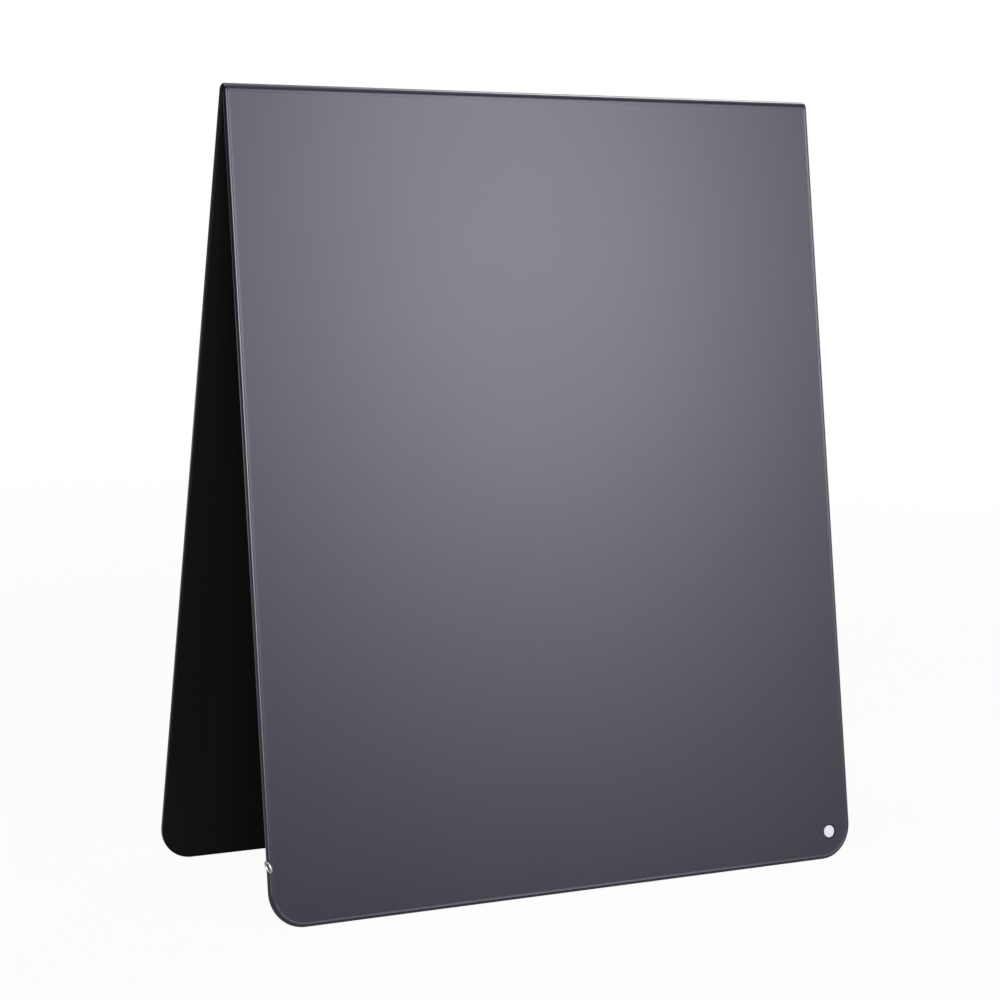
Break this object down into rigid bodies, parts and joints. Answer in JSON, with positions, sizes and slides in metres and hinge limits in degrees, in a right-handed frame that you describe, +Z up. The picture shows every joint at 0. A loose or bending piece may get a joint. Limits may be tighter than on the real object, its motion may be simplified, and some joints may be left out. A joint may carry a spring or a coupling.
{
  "type": "desktop chalkboard",
  "caption": "Tabletop tent chalkboard: two flat black leaves with rounded lower corners on a flexible crown strip, with a corner rivet and a small wire ring at one edge.",
  "frame": {"origin": "On the surface the board stands on, under the middle of the board.", "axes": "+X runs along the crown to the right as seen from the front; the front leaf faces -Y; +Z is up."},
  "size_m": [0.2013, 0.084, 0.2351],
  "materials": {
    "writing_skin": "satin black film with a very fine grain, wrapped round the edges",
    "core_board": "dense grey board",
    "lining_sheet": "plain black sheet",
    "crown_film": "flexible black film, satin",
    "white_plastic": "smooth off-white plastic",
    "ring_wire": "bright plated wire"
  },
  "bodies": {
    "front_leaf": {"front_cover": "writing_skin", "front_core": "core_board", "front_lining": "lining_sheet", "corner_rivet": "white_plastic", "rivet_cap": "white_plastic", "crown_strip": "crown_film"},
    "rear_leaf": {"rear_cover": "writing_skin", "rear_core": "core_board", "rear_lining": "lining_sheet"},
    "ring": {"edge_ring": "ring_wire"}
  },
  "joints": [
    {"name": "fold", "type": "hinge", "parent": "front_leaf", "child": "rear_leaf", "pos_m": [0, 0, 0.23294], "axis": [1, 0, 0], "range_deg": [-19.5, 160.5], "deforming": ["crown_strip"]},
    {"name": "ring_turn", "type": "hinge", "parent": "front_leaf", "child": "ring", "pos_m": [-0.10045, -0.03847, 0.0179], "axis": [-0.9336, -0.0607, -0.3532], "range_deg": [-8, 140]}
  ]
}
